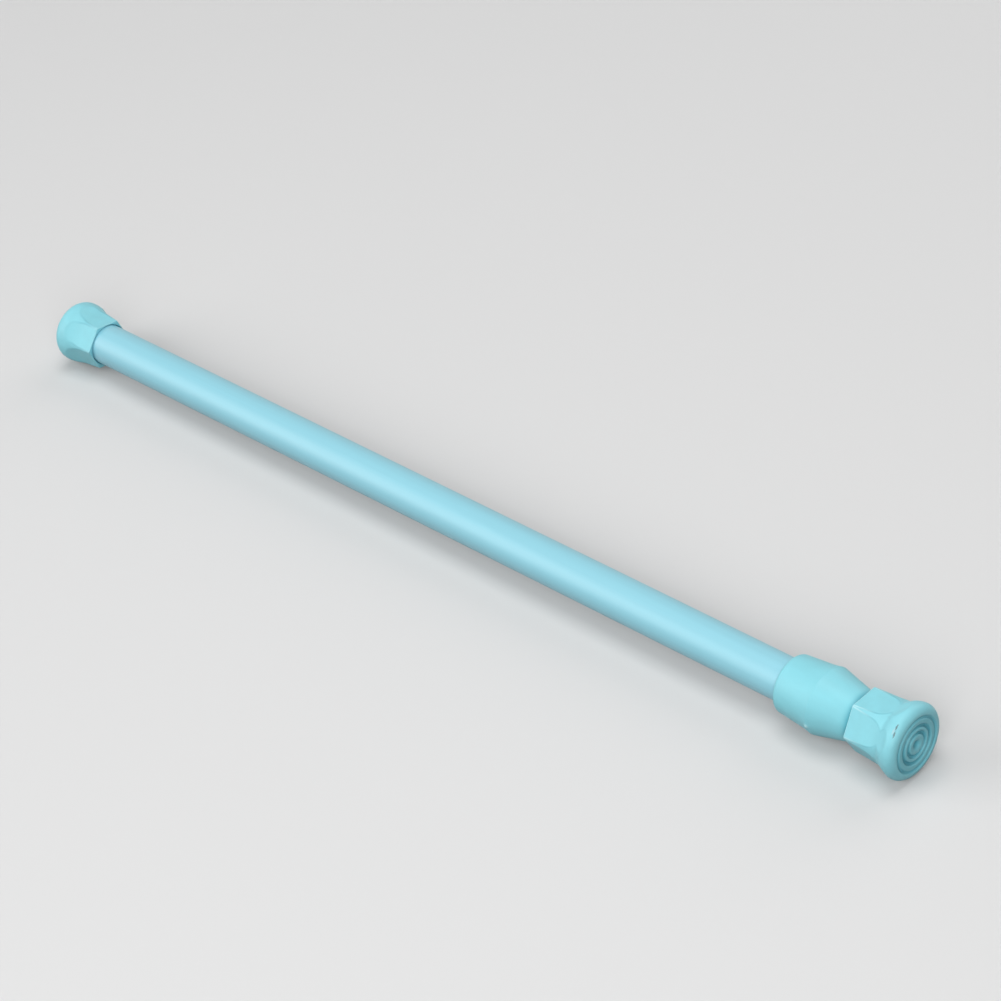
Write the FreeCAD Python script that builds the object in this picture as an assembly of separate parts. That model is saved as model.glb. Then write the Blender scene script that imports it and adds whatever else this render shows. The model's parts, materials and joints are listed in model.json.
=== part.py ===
import FreeCAD, Part
import math
import os

# Spring tension rod: two telescoping tubes with a rubber foot on each outer end,
# a tapered collar on the mouth of the outer tube, and a twist lock with a push
# spring on the inner end of the inner tube.
# The rod lies along X. The origin is the centre of the outer foot's wall face,
# X runs towards the inner foot, Z is up, and all sizes are in millimetres.

# Whole rod
closed_length = 420.0
rod_end_room = 28.1
spring_stroke = 20.0

# Tubes
outer_tube_radius = 8.0
inner_tube_radius = 6.5
tube_wall = 0.6

# Clearances
seat_gap = 0.02
running_gap = 0.08
closed_gap = 0.3
stop_gap = 0.3
end_play = 0.1

# Both feet
foot_floor = 4.0
flat_count = 6
flat_runout_radius = 20.0
flat_runout_sweep = 60.0
mouth_relief = 0.4
mouth_relief_depth = 1.0

# Rings on each wall face, as shares of the face: middle, half width, and depth for each half width
centre_dish = (0.0, 0.262, 0.4)
inner_groove = (0.405, 0.106, 0.85)
middle_groove = (0.637, 0.106, 0.85)
shallow_groove_half = 0.085
shallow_groove = (1.0 - shallow_groove_half, shallow_groove_half, 0.7)

# Foot on the outer tube
outer_foot_length = 20.0
outer_foot_flange_radius = 12.05
outer_foot_rim_round = 4.0
outer_foot_back_round = 20.0
outer_foot_neck_fillet = 15.0
outer_foot_mouth_radius = 10.05
outer_foot_bell_slope = 5.0
outer_foot_flat_distance = 8.8
outer_foot_flat_slope = 5.4
outer_foot_flat_straight = 5.5
outer_foot_turn = 19.8

# Foot on the inner tube
inner_foot_length = 21.4
inner_foot_flange_radius = 13.67
inner_foot_rim_round = 2.9
inner_foot_back_round = 7.0
inner_foot_neck_fillet = 2.5
inner_foot_mouth_radius = 11.43
inner_foot_bell_slope = 1.55
inner_foot_flat_distance = 10.0
inner_foot_flat_slope = 3.8
inner_foot_flat_straight = 8.4
inner_foot_turn = 29.0

# Collar on the mouth of the outer tube
collar_length = 30.6
collar_neck_length = 17.3
collar_rim_radius = 10.7
collar_rim_round = 1.6
collar_flare_length = 11.6
collar_flare_radius = 11.6
collar_lip_position = 15.7
collar_lip_radius = 12.3
collar_tip_radius = 8.8
collar_edge_round = 0.35

# Bush in the inner tube's inner end, and the glide ring on it
bush_plug_length = 12.0
bush_spool_radius = 5.2
bush_lip_radius = 6.5
bush_lip_length = 2.0
glide_ring_length = 5.0
glide_ring_slit = 1.0

# Lock rod and its two clips
rod_radius = 3.0
rod_flat_distance = 2.4
rod_shoulder_radius = 4.6
rod_shoulder_length = 1.5
rod_tip_length = 1.0
clip_thickness = 0.8
clip_radius = 5.0
clip_groove_radius = 2.2
clip_mouth = 3.6

# Push spring and its washer
spring_wire = 1.2
spring_mean_radius = 4.8
spring_turns = 7.5
spring_reserve = 3.0
washer_radius = 6.4
washer_thickness = 1.0

# Expander sleeve and the cone nut that spreads it
sleeve_drag_gap = 0.15
sleeve_length = 22.0
sleeve_hub_length = 6.0
sleeve_finger_wall = 1.0
sleeve_slot_count = 4
sleeve_slot_width = 1.6
sleeve_slot_length = 15.0
cone_angle = 12.0
cone_depth = 9.0
cone_overhang = 3.0
cone_touch_gap = 0.09
cone_rib_length = 7.0
cone_rib_side_gap = 0.15
cone_rib_top_gap = 0.3
thread_pitch = 1.0

# Sizes that follow from the values above
outer_bore_radius = outer_tube_radius - tube_wall
inner_bore_radius = inner_tube_radius - tube_wall
spring_length = spring_turns * spring_wire + spring_stroke + spring_reserve
sleeve_radius = outer_bore_radius - sleeve_drag_gap
cone_slope = math.tan(math.radians(cone_angle))
cone_gap = thread_pitch * cone_slope + cone_touch_gap

# Places along X, from the wall faces inwards
collar_end = closed_length - inner_foot_length - closed_gap
collar_start = collar_end - collar_length
tube_stop = collar_end - collar_neck_length
outer_tube_start = foot_floor
inner_tube_end = closed_length - foot_floor

# Places along X, from the outer foot's floor along the lock to the inner tube
rod_start = foot_floor + rod_end_room
cone_clip_start = rod_start + rod_tip_length
cone_start = cone_clip_start + clip_thickness + end_play
sleeve_start = cone_start + cone_overhang
cone_end = sleeve_start + cone_depth
sleeve_end = sleeve_start + sleeve_length
shoulder_start = sleeve_end + end_play
washer_start = shoulder_start + rod_shoulder_length
spring_start = washer_start + washer_thickness
bush_start = spring_start + spring_length
bush_spool_start = bush_start + bush_lip_length
glide_start = bush_spool_start + end_play
glide_end = glide_start + glide_ring_length
inner_tube_start = glide_end + end_play
bush_end = inner_tube_start + bush_plug_length
stop_clip_start = bush_end + end_play
rod_end = stop_clip_start + clip_thickness + rod_tip_length

# How far the inner tube slides out before the glide ring meets the collar's neck
extension = tube_stop - stop_gap - glide_end

ORIGIN = FreeCAD.Vector(0, 0, 0)
X_AXIS = FreeCAD.Vector(1, 0, 0)
Y_AXIS = FreeCAD.Vector(0, 1, 0)
Z_AXIS = FreeCAD.Vector(0, 0, 1)


def at(x, radius):
    """A point of a profile: x along the rod, radius from its axis."""
    return FreeCAD.Vector(x, 0, radius)


def line(start, end):
    """A straight edge of a profile."""
    return Part.LineSegment(start, end).toShape()


def round_about(centre, start, end):
    """The shorter arc about centre from start to end."""
    middle = (start - centre).normalize() + (end - centre).normalize()
    middle = centre + middle.normalize() * (start - centre).Length
    return Part.Arc(start, middle, end).toShape()


def tangent_arc(start, direction, end):
    """The arc that leaves start along direction and reaches end."""
    chord = end - start
    across = chord - direction * chord.dot(direction)
    across.normalize()
    radius = chord.dot(chord) / (2 * chord.dot(across))
    return round_about(start + across * radius, start, end)


def turned(edges):
    """The solid that a closed profile makes when turned about the rod's axis."""
    profile = Part.Face(Part.Wire(Part.__sortEdges__(edges)))
    return profile.revolve(ORIGIN, X_AXIS, 360)


def lathe(points):
    """A turned solid with straight edges between (x, radius) points."""
    corners = [at(x, radius) for x, radius in points]
    ends = corners[1:] + corners[:1]
    return turned([line(start, end) for start, end in zip(corners, ends)])


def ring(start, end, inner_radius, outer_radius):
    """A plain tube or ring between two places along X."""
    corners = [(start, inner_radius), (end, inner_radius), (end, outer_radius), (start, outer_radius)]
    return lathe(corners)


def rod(start, end, radius):
    """A plain round bar between two places along X."""
    return Part.makeCylinder(radius, end - start, at(start, 0), X_AXIS)


def slab(start, end, width, low, high):
    """A block from X start to end, width across Y, and Z from low to high."""
    return Part.makeBox(end - start, width, high - low, FreeCAD.Vector(start, -width / 2, low))


def around(shape, count, first_angle=0.0):
    """Copies of a shape turned evenly about the rod's axis."""
    copies = []
    for index in range(count):
        copy = shape.copy()
        copy.rotate(ORIGIN, X_AXIS, first_angle + index * 360.0 / count)
        copies.append(copy)
    return copies


def wave(start, end):
    """Two equal arcs from start to end that leave and arrive square to the rod's axis."""
    middle = (start + end) * 0.5
    outwards = Z_AXIS if end.z > start.z else Z_AXIS * -1
    return [tangent_arc(start, outwards, middle), tangent_arc(end, outwards * -1, middle)]


def circles(shape, x, radii):
    """The circular edges of a turned shape that lie at x and have one of the radii."""
    found = []
    for edge in shape.Edges:
        curve = edge.Curve
        if isinstance(curve, Part.Circle) and abs(curve.Center.x - x) < 1e-4:
            if any(abs(curve.Radius - radius) < 1e-4 for radius in radii):
                found.append(edge)
    return found


def face_rings(face_radius):
    """The wall face from its centre to its rim: flat lands with round-shouldered grooves between."""
    edges = []
    land_start = at(0, 0)
    for middle_share, half_share, depth_share in (centre_dish, inner_groove, middle_groove, shallow_groove):
        middle = middle_share * face_radius
        half_width = half_share * face_radius
        bottom = at(depth_share * half_width, middle)
        shoulder_out = at(0, middle + half_width)
        if middle > 0:
            shoulder_in = at(0, middle - half_width)
            edges.append(line(land_start, shoulder_in))
            edges += wave(shoulder_in, bottom)
        edges += wave(bottom, shoulder_out)
        land_start = shoulder_out
    return edges


def foot_outline(tube_radius, length, flange_radius, rim_round, back_round, neck_fillet,
                 mouth_radius, bell_slope):
    """Half section of a foot from its wall face: rim, bell, mouth, bore and floor."""
    slope = math.radians(bell_slope)
    along = at(-math.cos(slope), math.sin(slope))
    outward = at(math.sin(slope), math.cos(slope))
    mouth = at(length, mouth_radius)
    rim_top = at(rim_round, flange_radius)
    face_radius = flange_radius - rim_round
    rim_start = at(0, face_radius)
    dish_bottom = at(centre_dish[1] * centre_dish[2] * face_radius, 0)
    back_centre = at(rim_round, flange_radius - back_round)
    # The fillet's centre is on a line beside the bell, where it also touches the back of the rim.
    beside = mouth + outward * neck_fillet - back_centre
    reach = back_round + neck_fillet
    half = beside.dot(along)
    travel = -half - math.sqrt(half * half - beside.dot(beside) + reach * reach)
    fillet_centre = back_centre + beside + along * travel
    bell_start = mouth + along * travel
    back_end = back_centre + (fillet_centre - back_centre) * (back_round / reach)
    bore = tube_radius + seat_gap
    relief_out = at(length, bore + mouth_relief)
    relief_in = at(length - mouth_relief_depth, bore)
    return face_rings(face_radius) + [
        round_about(at(rim_round, face_radius), rim_start, rim_top),
        round_about(back_centre, rim_top, back_end),
        round_about(fillet_centre, back_end, bell_start),
        line(bell_start, mouth),
        line(mouth, relief_out),
        line(relief_out, relief_in),
        line(relief_in, at(foot_floor, bore)),
        line(at(foot_floor, bore), at(foot_floor, 0)),
        line(at(foot_floor, 0), dish_bottom),
    ]


def flat_cutter(length, flange_radius, distance, slope_angle, straight):
    """What is cut off for one flat: a plane from the mouth, then a run-out that rises to the rim."""
    slope = math.radians(slope_angle)
    over = flange_radius
    mouth_end = at(length + over, distance - over * math.tan(slope))
    run_start = at(length - straight, distance + straight * math.tan(slope))
    run_centre = run_start + at(math.sin(slope), math.cos(slope)) * flat_runout_radius
    rise = math.radians(flat_runout_sweep)
    run_end = run_centre - at(math.sin(rise), math.cos(rise)) * flat_runout_radius
    corner = at(length + over, run_end.z)
    profile = Part.Face(Part.Wire([
        line(mouth_end, run_start),
        round_about(run_centre, run_start, run_end),
        line(run_end, corner),
        line(corner, mouth_end),
    ]))
    cutter = profile.extrude(Y_AXIS * (2 * flange_radius))
    cutter.translate(Y_AXIS * -flange_radius)
    return cutter


def make_foot(tube_radius, length, flange_radius, rim_round, back_round, neck_fillet, mouth_radius,
              bell_slope, flat_distance, flat_slope, flat_straight, turn):
    """A rubber foot with its wall face at X = 0 and its mouth towards +X."""
    foot = turned(foot_outline(tube_radius, length, flange_radius, rim_round, back_round,
                               neck_fillet, mouth_radius, bell_slope))
    cutter = flat_cutter(length, flange_radius, flat_distance, flat_slope, flat_straight)
    # A flat that faces up is at 90 degrees, counted from Y towards Z.
    for flat in around(cutter, flat_count, turn - 90.0):
        foot = foot.cut(flat)
    return foot


def make_outer_foot():
    """The foot on the outer tube, with its wall face at the origin."""
    return make_foot(outer_tube_radius, outer_foot_length, outer_foot_flange_radius,
                     outer_foot_rim_round, outer_foot_back_round, outer_foot_neck_fillet,
                     outer_foot_mouth_radius, outer_foot_bell_slope, outer_foot_flat_distance,
                     outer_foot_flat_slope, outer_foot_flat_straight, outer_foot_turn)


def make_inner_foot():
    """The foot on the inner tube, turned to face the other wall."""
    foot = make_foot(inner_tube_radius, inner_foot_length, inner_foot_flange_radius,
                     inner_foot_rim_round, inner_foot_back_round, inner_foot_neck_fillet,
                     inner_foot_mouth_radius, inner_foot_bell_slope, inner_foot_flat_distance,
                     inner_foot_flat_slope, inner_foot_flat_straight, 180.0 - inner_foot_turn)
    foot.rotate(ORIGIN, Z_AXIS, 180)
    foot.translate(at(closed_length, 0))
    return foot


def make_collar():
    """The tapered collar: rounded rim, flare, lip, long taper, and a neck that guides the inner tube."""
    tube_bore = outer_tube_radius + seat_gap
    neck_bore = inner_tube_radius + running_gap
    rim_start = at(collar_start, collar_rim_radius - collar_rim_round)
    rim_end = at(collar_start + collar_rim_round, collar_rim_radius)
    flare_end = at(collar_start + collar_flare_length, collar_flare_radius)
    lip = at(collar_start + collar_lip_position, collar_lip_radius)
    tip = at(collar_end, collar_tip_radius)
    flare = (flare_end - rim_end).normalize()
    collar = turned([
        line(at(collar_start, tube_bore), rim_start),
        round_about(at(rim_end.x, rim_start.z), rim_start, rim_end),
        line(rim_end, flare_end),
        tangent_arc(flare_end, flare, lip),
        line(lip, tip),
        line(tip, at(collar_end, neck_bore)),
        line(at(collar_end, neck_bore), at(tube_stop, neck_bore)),
        line(at(tube_stop, neck_bore), at(tube_stop, tube_bore)),
        line(at(tube_stop, tube_bore), at(collar_start, tube_bore)),
    ])
    edges = circles(collar, lip.x, [collar_lip_radius]) + circles(collar, tip.x, [collar_tip_radius])
    return collar.makeFillet(collar_edge_round, edges)


def flatted_bar(start, end, gap):
    """A round bar with two flats, as the rod's sliding end has, larger all round by gap."""
    bar = rod(start, end, rod_radius + gap)
    across = 2 * (rod_radius + gap)
    return bar.common(slab(start, end, across, -rod_flat_distance - gap, rod_flat_distance + gap))


def make_tube_bush():
    """The bush in the inner tube's end: plug, spool for the glide ring, lip, and a two-flat hole."""
    bush = lathe([
        (bush_start, 0),
        (bush_start, bush_lip_radius),
        (bush_spool_start, bush_lip_radius),
        (bush_spool_start, bush_spool_radius),
        (inner_tube_start, bush_spool_radius),
        (inner_tube_start, inner_bore_radius - seat_gap),
        (bush_end, inner_bore_radius - seat_gap),
        (bush_end, 0),
    ])
    return bush.cut(flatted_bar(bush_start, bush_end, running_gap))


def make_glide_ring():
    """The split ring that centres the inner tube in the outer tube's bore."""
    body = ring(glide_start, glide_end, bush_spool_radius + running_gap, outer_bore_radius - running_gap)
    return body.cut(slab(glide_start, glide_end, glide_ring_slit, 0, outer_tube_radius))


def make_lock_rod():
    """The lock rod: screw end, shoulder, and a two-flat end that slides in the bush."""
    bar = rod(rod_start, washer_start, rod_radius)
    bar = bar.fuse(rod(shoulder_start, washer_start, rod_shoulder_radius))
    bar = bar.fuse(flatted_bar(washer_start, rod_end, 0))
    for groove_start in (cone_clip_start, stop_clip_start):
        groove_end = groove_start + clip_thickness
        bar = bar.cut(ring(groove_start, groove_end, clip_groove_radius, rod_radius + running_gap))
    return bar.removeSplitter()


def make_clip(start):
    """A flat spring clip that snaps into a groove of the lock rod."""
    low = start + seat_gap
    high = start + clip_thickness - seat_gap
    body = ring(low, high, clip_groove_radius + seat_gap, clip_radius)
    return body.cut(slab(low, high, clip_mouth, -clip_radius, 0))


def make_thrust_washer():
    """The washer that carries the spring on the rod's shoulder."""
    return ring(washer_start, spring_start, rod_radius + running_gap, washer_radius)


def make_spring():
    """The push spring: a round-wire helix with both ends ground flat."""
    pitch = (spring_length - spring_wire) / spring_turns
    helix = Part.makeHelix(pitch, pitch * spring_turns, spring_mean_radius)
    section = Part.makeCircle(spring_wire / 2, FreeCAD.Vector(spring_mean_radius, 0, 0), Y_AXIS)
    wire = Part.Wire(helix).makePipeShell([Part.Wire(section)], True, True)
    wire.rotate(ORIGIN, Y_AXIS, 90)
    wire.translate(at(spring_start + spring_wire / 2, 0))
    ground = rod(spring_start + seat_gap, bush_start - seat_gap, spring_mean_radius + spring_wire)
    return wire.common(ground)


def make_expander_sleeve():
    """The split sleeve: a hub that turns on the rod, and fingers with a cone mouth."""
    mouth_radius = sleeve_radius - sleeve_finger_wall
    throat = sleeve_end - sleeve_hub_length
    cone_foot = cone_end + 2 * thread_pitch
    throat_radius = mouth_radius - (cone_foot - sleeve_start) * cone_slope
    hub_bore = rod_radius + running_gap
    sleeve = lathe([
        (sleeve_start, mouth_radius),
        (cone_foot, throat_radius),
        (throat, throat_radius),
        (throat, hub_bore),
        (sleeve_end, hub_bore),
        (sleeve_end, sleeve_radius),
        (sleeve_start, sleeve_radius),
    ])
    slot = slab(sleeve_start, sleeve_start + sleeve_slot_length, sleeve_slot_width, 0, outer_tube_radius)
    for cut in around(slot, sleeve_slot_count):
        sleeve = sleeve.cut(cut)
    return sleeve


def make_cone_nut():
    """The tapered nut on the rod's screw, with ribs that run in the sleeve's slots."""
    mouth_radius = sleeve_radius - sleeve_finger_wall - cone_gap
    nut = lathe([
        (cone_start, 0),
        (cone_start, mouth_radius + cone_overhang * cone_slope),
        (cone_end, mouth_radius - cone_depth * cone_slope),
        (cone_end, 0),
    ])
    rib_width = sleeve_slot_width - 2 * cone_rib_side_gap
    rib_top = sleeve_radius - cone_rib_top_gap
    rib = slab(cone_start, sleeve_start + cone_rib_length, rib_width, 0, rib_top)
    for one in around(rib, sleeve_slot_count):
        nut = nut.fuse(one)
    return nut.cut(rod(cone_start, cone_end, rod_radius + running_gap)).removeSplitter()


parts = {
    "outer_tube": ring(outer_tube_start, tube_stop, outer_bore_radius, outer_tube_radius),
    "outer_foot": make_outer_foot(),
    "collar": make_collar(),
    "inner_tube": ring(inner_tube_start, inner_tube_end, inner_bore_radius, inner_tube_radius),
    "inner_foot": make_inner_foot(),
    "tube_bush": make_tube_bush(),
    "glide_ring": make_glide_ring(),
    "lock_rod": make_lock_rod(),
    "stop_clip": make_clip(stop_clip_start),
    "cone_clip": make_clip(cone_clip_start),
    "thrust_washer": make_thrust_washer(),
    "push_spring": make_spring(),
    "expander_sleeve": make_expander_sleeve(),
    "cone_nut": make_cone_nut(),
}

os.makedirs("parts", exist_ok=True)
for name, shape in parts.items():
    shape.exportStep("parts/" + name + ".step")

print("slides out by", round(extension, 3), "mm")
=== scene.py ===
import json
import math

import bpy
import numpy as np
from bpy.props import FloatProperty, FloatVectorProperty, IntProperty, PointerProperty
from mathutils import Matrix, Vector


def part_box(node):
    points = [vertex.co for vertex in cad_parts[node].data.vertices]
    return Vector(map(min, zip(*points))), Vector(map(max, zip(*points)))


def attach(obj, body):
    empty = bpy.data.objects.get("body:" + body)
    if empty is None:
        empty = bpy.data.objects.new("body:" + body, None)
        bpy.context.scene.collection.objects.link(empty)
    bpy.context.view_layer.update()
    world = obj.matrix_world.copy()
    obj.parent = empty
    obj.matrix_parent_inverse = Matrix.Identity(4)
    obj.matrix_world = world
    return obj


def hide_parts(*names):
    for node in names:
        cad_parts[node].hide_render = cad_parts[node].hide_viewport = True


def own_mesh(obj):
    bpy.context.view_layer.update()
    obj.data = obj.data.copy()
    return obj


bl_info = {
    "name": "Spring tension rod",
    "version": (1, 0, 0),
    "blender": (4, 5, 0),
    "location": "3D View > Sidebar > Tension rod",
    "description": "Dresses the packed spring tension rod and sets it on a plain stage",
    "category": "Object",
}

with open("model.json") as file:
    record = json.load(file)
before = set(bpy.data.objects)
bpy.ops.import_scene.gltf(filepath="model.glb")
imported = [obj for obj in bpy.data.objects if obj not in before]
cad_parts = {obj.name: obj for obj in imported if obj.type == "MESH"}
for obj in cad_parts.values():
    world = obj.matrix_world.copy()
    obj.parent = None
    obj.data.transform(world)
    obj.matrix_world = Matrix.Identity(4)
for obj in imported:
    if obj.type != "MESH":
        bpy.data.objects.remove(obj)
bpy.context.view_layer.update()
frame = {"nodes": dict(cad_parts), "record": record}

MM = 0.001
SHARP_ANGLE = math.radians(38.0)

# How fine the grids are, and how many times coarser the collar's bore is
ROUND_STEPS = 4
MOUTH_STEPS = 6
LIP_STEPS = 5
COIL_STEPS = 48
WIRE_COLUMNS = 20
FLOOR_LINES = 9
BORE_STRIDE = 5

# Radius of the ring of points round a pole, as a share of the bore or the bar
POLE_SHARE = 0.05

# How far out a row still counts as lying on the bar, in bar radii
BAR_SLACK = 1.0001

# Share of the thread's height cut off its crests and filled in at its roots
THREAD_CUT = 0.1

# Keeps the radius of the rod's flats finite where a column runs beside them
LEAST_SINE = 0.01

# The middle of a noise, where most of its values lie
NOISE_LOW = 0.3
NOISE_HIGH = 0.7

# How much a ragged mark loses to its noise, and what is left where it is full
RAGGED_LOSS = 0.55
RAGGED_FULL = 0.3

# Sockets of a node that mixes two colours
MIX_FACTOR, MIX_FIRST, MIX_SECOND, MIX_RESULT = 0, 6, 7, 2

# Lamps: name, place from the middle of the rod and width, in metres
LAMPS = (
    ("key", (1.05, -1.12, 1.0), 1.2),
    ("side", (-1.13, -1.27, 0.84), 1.5),
    ("top", (0.0, 0.0, 1.7), 1.0),
    ("back", (0.1, 1.4, 0.9), 1.2),
)


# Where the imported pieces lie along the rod


def span(node):
    """Where a node starts and ends along the rod and how far it stands from the axis, in metres."""
    low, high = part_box(node)
    return low.x, high.x, min(-low.y, high.y, -low.z, high.z)


OUTER_TUBE_START, OUTER_TUBE_END, OUTER_TUBE_RADIUS = span("outer_tube")
INNER_TUBE_START, INNER_TUBE_END, INNER_TUBE_RADIUS = span("inner_tube")
OUTER_FACE, OUTER_MOUTH, OUTER_FLANGE_RADIUS = span("outer_foot")
INNER_MOUTH, INNER_FACE, INNER_FLANGE_RADIUS = span("inner_foot")
COLLAR_START, COLLAR_END = span("collar")[:2]
ROD_START, ROD_END, SHOULDER_RADIUS = span("lock_rod")
SPRING_START, SPRING_END, SPRING_RADIUS = span("push_spring")
BUSH_START = span("tube_bush")[0]
WASHER_START, WASHER_END = span("thrust_washer")[:2]
ROD_MIDDLE = (INNER_FACE / 2, 0.0, 0.0)


# Properties


def length(name, description, default):
    """A length, in metres."""
    return FloatProperty(name=name, description=description, default=default, unit="LENGTH", precision=5)


def lengths(name, description, default):
    """Two or three lengths, in metres."""
    return FloatVectorProperty(
        name=name, description=description, default=default, size=len(default), unit="LENGTH")


def whole(name, description, default):
    """A whole number."""
    return IntProperty(name=name, description=description, default=default)


def turn(name, description, degrees):
    """An angle, given in degrees and kept in radians."""
    return FloatProperty(name=name, description=description, default=math.radians(degrees), subtype="ANGLE")


def colour(name, description, default):
    """A colour, in linear red, green and blue."""
    return FloatVectorProperty(
        name=name, description=description, default=default, subtype="COLOR", min=0.0, max=1.0)


def groove(name, description, default):
    """A ring on a wall face: middle and half width as shares of the face, depth for each half width."""
    return FloatVectorProperty(name=name, description=description, default=default, size=3)


def level(name, description, default):
    """A plain number from nothing upwards."""
    return FloatProperty(name=name, description=description, default=default, min=0.0)


class TubeShape(bpy.types.PropertyGroup):
    """The two telescoping tubes."""

    wall: length("Wall", "Thickness of the steel and its film", 0.6 * MM)
    end_round: length("End round", "Rounding of the cut ends", 0.15 * MM)
    spacing: length("Spacing", "Distance between grid rows", 4.0 * MM)
    columns: whole("Columns", "Grid columns round the tube", 144)


class FootForm:
    """What both rubber feet share."""

    floor: length("Floor", "Thickness behind the wall face", 4.0 * MM)
    seat_gap: length("Seat gap", "Gap between the bore and its tube", 0.02 * MM)
    relief: length("Relief", "How far the mouth opens round the tube", 0.4 * MM)
    relief_depth: length("Relief depth", "How deep the mouth opens", 1.0 * MM)
    mouth_round: length("Mouth round", "Rounding of the mouth's outer edge", 0.35 * MM)
    flat_count: whole("Flats", "Flats round the bell", 6)
    # The pale edges of the flats are a painted highlight
    ridge_reach: length("Ridge reach", "How far from the mouth the edges of the flats stay pale", 9.0 * MM)
    runout_radius: length("Run-out radius", "Radius on which a flat rises to the rim", 20.0 * MM)
    # Painted shade over the wall face: this share on its crests, growing to full in its grooves
    face_painted_shade: level("Face grime", "How dirty the crests of the wall face are", 0.25)
    # Painted shade in the mouth round the tube
    mouth_painted_shade: level("Mouth grime", "How dirty the mouth is round the tube", 0.2)
    # Painted shade in the crease where a flat runs out; the reach below is how far it spreads
    crease_painted_shade: level("Crease grime", "How dirty the crease is where a flat runs out", 0.45)
    crease_reach: length("Crease reach", "How far the dirt reaches along the crease", 5.0 * MM)
    centre_dish: groove("Centre dish", "Dish in the middle of the face", (0.0, 0.262, 0.4))
    inner_groove: groove("Inner groove", "Groove round the dish", (0.405, 0.106, 0.85))
    middle_groove: groove("Middle groove", "Next groove outwards", (0.637, 0.106, 0.85))
    shallow_groove: groove("Shallow groove", "Hollow inside the rim", (0.915, 0.085, 0.7))
    spacing: length("Spacing", "Distance between grid rows", 0.18 * MM)
    columns: whole("Columns", "Grid columns round the foot", 384)


class OuterFootShape(bpy.types.PropertyGroup, FootForm):
    """The rubber foot on the outer tube."""

    rim_round: length("Rim round", "Rounding from the face to the rim", 4.0 * MM)
    back_round: length("Back round", "Rounding behind the rim", 20.0 * MM)
    neck_fillet: length("Neck fillet", "Hollow between rim and bell", 15.0 * MM)
    mouth_radius: length("Mouth radius", "Outer radius at the mouth", 10.05 * MM)
    bell_slope: turn("Bell slope", "Taper of the bell", 5.0)
    flat_distance: length("Flat distance", "From the axis to a flat at the mouth", 8.8 * MM)
    flat_slope: turn("Flat slope", "Taper of the flats", 5.4)
    flat_straight: length("Flat length", "Straight part of a flat", 5.5 * MM)
    flat_blend: length("Flat blend", "Rounding width of the edges of the flats", 0.26 * MM)
    # Strength of the painted highlight on the edges of the flats and the mouth
    ridge_level: level("Ridge level", "How pale the edges of the flats are", 0.25)
    flat_turn: turn("Turn", "Where the first flat faces, from +Y towards +Z", 19.8)


class InnerFootShape(bpy.types.PropertyGroup, FootForm):
    """The larger rubber foot on the inner tube."""

    rim_round: length("Rim round", "Rounding from the face to the rim", 2.9 * MM)
    back_round: length("Back round", "Rounding behind the rim", 7.0 * MM)
    neck_fillet: length("Neck fillet", "Hollow between rim and bell", 2.5 * MM)
    mouth_radius: length("Mouth radius", "Outer radius at the mouth", 11.43 * MM)
    bell_slope: turn("Bell slope", "Taper of the bell", 1.55)
    flat_distance: length("Flat distance", "From the axis to a flat at the mouth", 10.0 * MM)
    flat_slope: turn("Flat slope", "Taper of the flats", 3.8)
    flat_straight: length("Flat length", "Straight part of a flat", 8.4 * MM)
    flat_blend: length("Flat blend", "Rounding width of the edges of the flats", 0.16 * MM)
    # Strength of the painted highlight on the edges of the flats and the mouth
    ridge_level: level("Ridge level", "How pale the edges of the flats are", 0.85)
    flat_turn: turn("Turn", "Where the first flat faces, from +Y towards +Z", 29.0)
    scuff_places: lengths("Scuffs", "From the face to the two scuff strokes", (2.2 * MM, 1.8 * MM))
    scuff_turns: FloatVectorProperty(
        name="Scuff turns", description="Where the strokes are, from +Y towards +Z", size=2, subtype="EULER",
        default=(math.radians(121.0), math.radians(132.0)))
    scuff_width: length("Scuff width", "Half width of a stroke", 0.26 * MM)
    scuff_length: length("Scuff length", "Half length of a stroke", 1.15 * MM)
    flake_place: length("Flake", "From the face to the pale flake between the strokes", 2.5 * MM)
    flake_turn: turn("Flake turn", "Where the flake is, from +Y towards +Z", 128.0)


class CollarShape(bpy.types.PropertyGroup):
    """The tapered collar on the mouth of the outer tube."""

    seat_gap: length("Seat gap", "Gap between the bore and the outer tube", 0.02 * MM)
    running_gap: length("Running gap", "Gap between the neck and the inner tube", 0.08 * MM)
    rim_radius: length("Rim radius", "Radius at the rim", 10.7 * MM)
    rim_round: length("Rim round", "Rounding of the rim", 1.6 * MM)
    flare_length: length("Flare length", "From the rim to the start of the lip", 11.6 * MM)
    flare_radius: length("Flare radius", "Radius at the start of the lip", 11.6 * MM)
    lip_position: length("Lip position", "From the rim to the lip", 15.7 * MM)
    lip_radius: length("Lip radius", "Radius of the lip", 12.3 * MM)
    tip_radius: length("Tip radius", "Radius at the end of the taper", 8.8 * MM)
    edge_round: length("Edge round", "Rounding of the lip and the tip", 0.35 * MM)
    # Painted shade on the taper next to the tip, where the foot's mouth overhangs it
    seam_reach: length("Seam reach", "How far grime reaches from the tip", 1.6 * MM)
    # The nub is a real bump; its pale colour is partly the flash's own colour and partly a painted highlight
    nub_height: length("Nub height", "Height of the trimmed moulding gate on the lip", 0.4 * MM)
    nub_width: length("Nub width", "Half width of the nub", 0.7 * MM)
    nub_turn: turn("Nub turn", "Where the nub stands, from +Y towards +Z", 191.0)
    spacing: length("Spacing", "Distance between grid rows", 0.2 * MM)
    columns: whole("Columns", "Grid columns round the collar", 288)


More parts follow.
